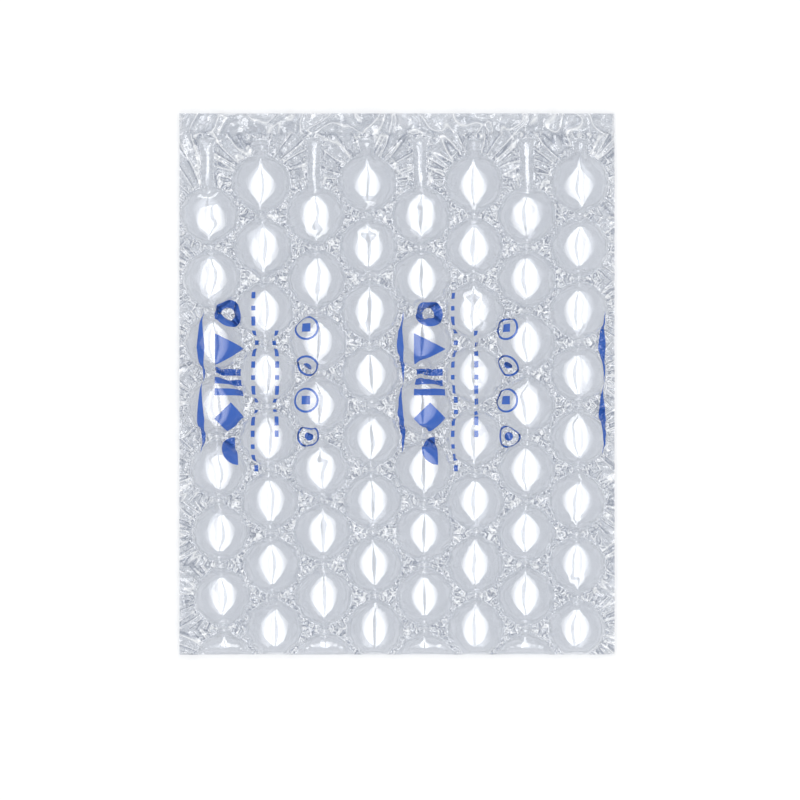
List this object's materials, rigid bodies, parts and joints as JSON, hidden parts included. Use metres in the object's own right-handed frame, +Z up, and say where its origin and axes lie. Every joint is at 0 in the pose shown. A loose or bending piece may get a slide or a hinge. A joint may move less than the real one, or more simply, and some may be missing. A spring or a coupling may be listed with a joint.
{
  "type": "inflated air cushion film sheet",
  "caption": "Flat sheet of folded, heat-sealed clear film with staggered columns of round air cells, inlets and a machine seal along one edge",
  "frame": {"origin": "middle of the sheet, on the plane that the undersides of its cells rest on", "axes": "+X across the columns of cells, +Y from the fold towards the slit edge, +Z up out of the sheet"},
  "size_m": [0.2924, 0.3636, 0.0184],
  "materials": {
    "clear_film": "clear, glossy, thin polyethylene film",
    "blue_ink": "flat printing ink on the film"
  },
  "bodies": {
    "root": {"film": "clear_film", "print": "blue_ink"}
  },
  "joints": []
}
